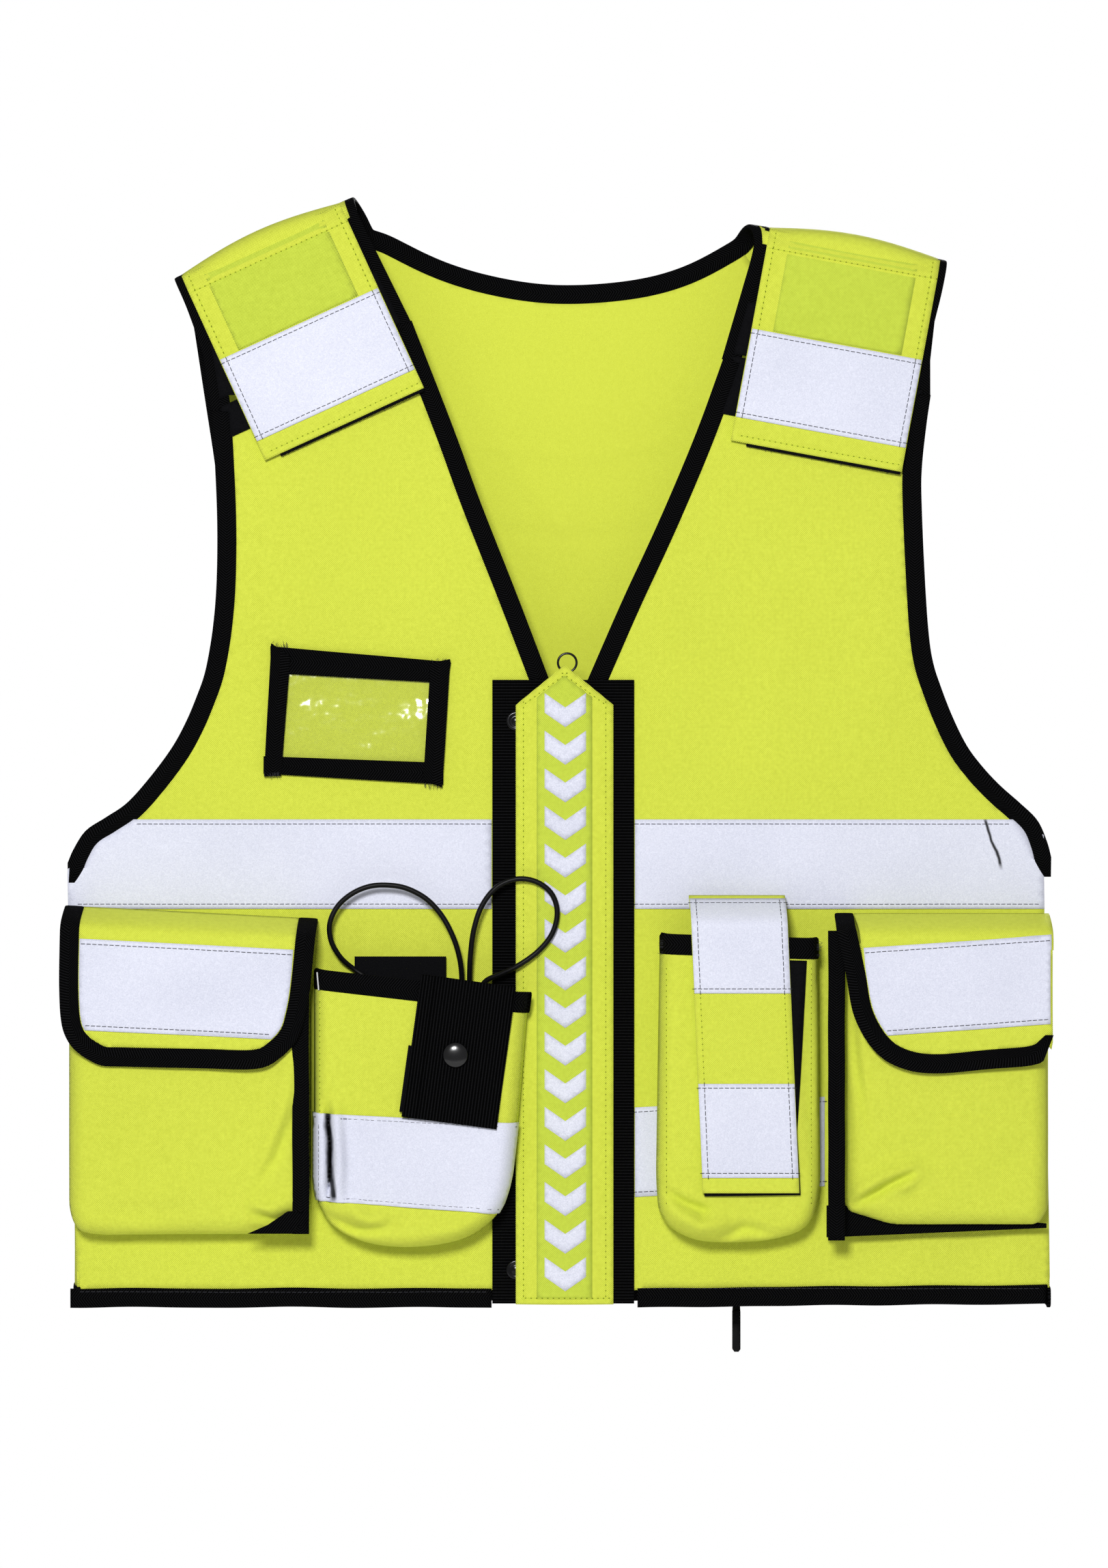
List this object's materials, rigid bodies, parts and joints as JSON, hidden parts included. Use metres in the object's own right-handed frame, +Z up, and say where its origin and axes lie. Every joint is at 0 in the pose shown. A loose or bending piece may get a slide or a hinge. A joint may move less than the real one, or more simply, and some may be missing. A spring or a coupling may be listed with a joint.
{
  "type": "high visibility vest",
  "caption": "Yellow sleeveless safety vest with silver reflective tape, black edge binding, a front zip under a title strip, cargo pockets, radio and torch pouches, and a badge window.",
  "frame": {"origin": "in the middle of the vest between the two shoulders, where a hanger's hook stands, level with the shoulder folds", "axes": "+Z up as hung, the fronts face -Y, +X towards the wearer's left side"},
  "size_m": [0.5522, 0.0744, 0.6516],
  "materials": {
    "yellow_cloth": "matt woven polyester",
    "silver_tape": "glass-bead reflective tape, fine grain",
    "clear_film": "clear glossy",
    "dark_metal": "glossy black",
    "black_rubber": "satin moulded",
    "elastic": "braided elastic cord",
    "hook_and_loop": "matt pile",
    "black_webbing": "ribbed webbing"
  },
  "bodies": {
    "back": {"back_panel": "yellow_cloth", "neck_binding": "black_webbing", "back_hem_binding": "black_webbing", "back_chest_band": "silver_tape", "shoulder_yoke_right": "yellow_cloth", "shoulder_yoke_left": "yellow_cloth", "arm_binding_back_right": "black_webbing", "arm_binding_back_left": "black_webbing", "side_gusset_right": "yellow_cloth", "side_gusset_left": "yellow_cloth", "rear_zip_tape": "black_webbing", "rear_zip_slider": "dark_metal"},
    "rear_puller": {"rear_zip_puller": "black_rubber"},
    "front_right": {"front_panel_right": "yellow_cloth", "v_binding_right": "black_webbing", "armhole_binding_right": "black_webbing", "hem_binding_right": "black_webbing", "zip_facing_right": "black_webbing", "zip_tape_right": "black_webbing", "chest_band_right": "silver_tape", "loop_patch_right": "hook_and_loop", "badge_film": "clear_film", "badge_frame": "black_webbing", "cargo_pocket_right": "yellow_cloth", "cargo_binding_right": "black_webbing", "radio_pouch": "yellow_cloth", "radio_pouch_binding": "black_webbing", "radio_hook_tab": "hook_and_loop", "elastic_loop_left": "elastic", "elastic_loop_right": "elastic", "title_strip": "yellow_cloth", "strip_stud_upper": "dark_metal", "strip_stud_lower": "dark_metal"},
    "front_left": {"front_panel_left": "yellow_cloth", "v_binding_left": "black_webbing", "armhole_binding_left": "black_webbing", "hem_binding_left": "black_webbing", "zip_facing_left": "black_webbing", "zip_tape_left": "black_webbing", "chest_band_left": "silver_tape", "loop_patch_left": "hook_and_loop", "cargo_pocket_left": "yellow_cloth", "cargo_binding_left": "black_webbing", "torch_pouch": "yellow_cloth", "torch_pouch_binding": "black_webbing"},
    "tab_right": {"shoulder_tab_right": "yellow_cloth", "shoulder_tape_right": "silver_tape"},
    "tab_left": {"shoulder_tab_left": "yellow_cloth", "shoulder_tape_left": "silver_tape"},
    "flap_right": {"cargo_flap_right": "yellow_cloth", "cargo_flap_binding_right": "black_webbing"},
    "flap_left": {"cargo_flap_left": "yellow_cloth", "cargo_flap_binding_left": "black_webbing"},
    "radio_tongue": {"radio_strap": "black_webbing", "radio_strap_stud": "dark_metal"},
    "torch_tongue": {"torch_strap": "yellow_cloth"},
    "slider": {"zip_slider": "dark_metal"},
    "pull": {"zip_pull_ring": "dark_metal"}
  },
  "joints": [
    {"name": "front_left_open", "type": "hinge", "parent": "back", "child": "front_left", "pos_m": [0.27, -0.017, -0.48], "axis": [0, 0, 1], "range_deg": [0, 64]},
    {"name": "front_right_open", "type": "hinge", "parent": "back", "child": "front_right", "pos_m": [-0.277, -0.017, -0.48], "axis": [0, 0, 1], "range_deg": [-64, 0]},
    {"name": "tab_right_lift", "type": "hinge", "parent": "back", "child": "tab_right", "pos_m": [-0.2149, -0.0217, -0.0384], "axis": [-0.91, 0, -0.4145], "range_deg": [0, 160]},
    {"name": "tab_left_lift", "type": "hinge", "parent": "back", "child": "tab_left", "pos_m": [0.1151, -0.0217, -0.0119], "axis": [-0.9832, 0, 0.1824], "range_deg": [0, 160]},
    {"name": "flap_right_lift", "type": "hinge", "parent": "front_right", "child": "flap_right", "pos_m": [-0.273, -0.0218, -0.3925], "axis": [-0.9986, 0, 0.052], "range_deg": [0, 105]},
    {"name": "flap_left_lift", "type": "hinge", "parent": "front_left", "child": "flap_left", "pos_m": [0.156, -0.0218, -0.3965], "axis": [-1, 0, 0], "range_deg": [0, 105]},
    {"name": "radio_tongue_lift", "type": "hinge", "parent": "front_right", "child": "radio_tongue", "pos_m": [-0.0794, -0.0468, -0.4288], "axis": [-0.9906, 0, 0.1366], "range_deg": [0, 140]},
    {"name": "torch_tongue_lift", "type": "hinge", "parent": "front_left", "child": "torch_tongue", "pos_m": [0.096, -0.0218, -0.385], "axis": [-1, 0, 0], "range_deg": [0, 100]},
    {"name": "zip_slide", "type": "slide", "parent": "front_right", "child": "slider", "axis": [0, 0, -1], "range_m": [0, 0.325]},
    {"name": "zip_pull_swing", "type": "hinge", "parent": "slider", "child": "pull", "pos_m": [0.0015, -0.0234, -0.2612], "axis": [1, 0, 0], "range_deg": [-60, 0]},
    {"name": "rear_puller_swing", "type": "hinge", "parent": "back", "child": "rear_puller", "pos_m": [0.0977, 0.0225, -0.602], "axis": [1, 0, 0], "range_deg": [0, 80]}
  ],
  "couplings": [
    {"joint": "front_right_open", "follows": "front_left_open", "ratio": -1},
    {"joint": "tab_right_lift", "follows": "front_left_open", "ratio": 2.5},
    {"joint": "tab_left_lift", "follows": "front_left_open", "ratio": 2.5}
  ]
}
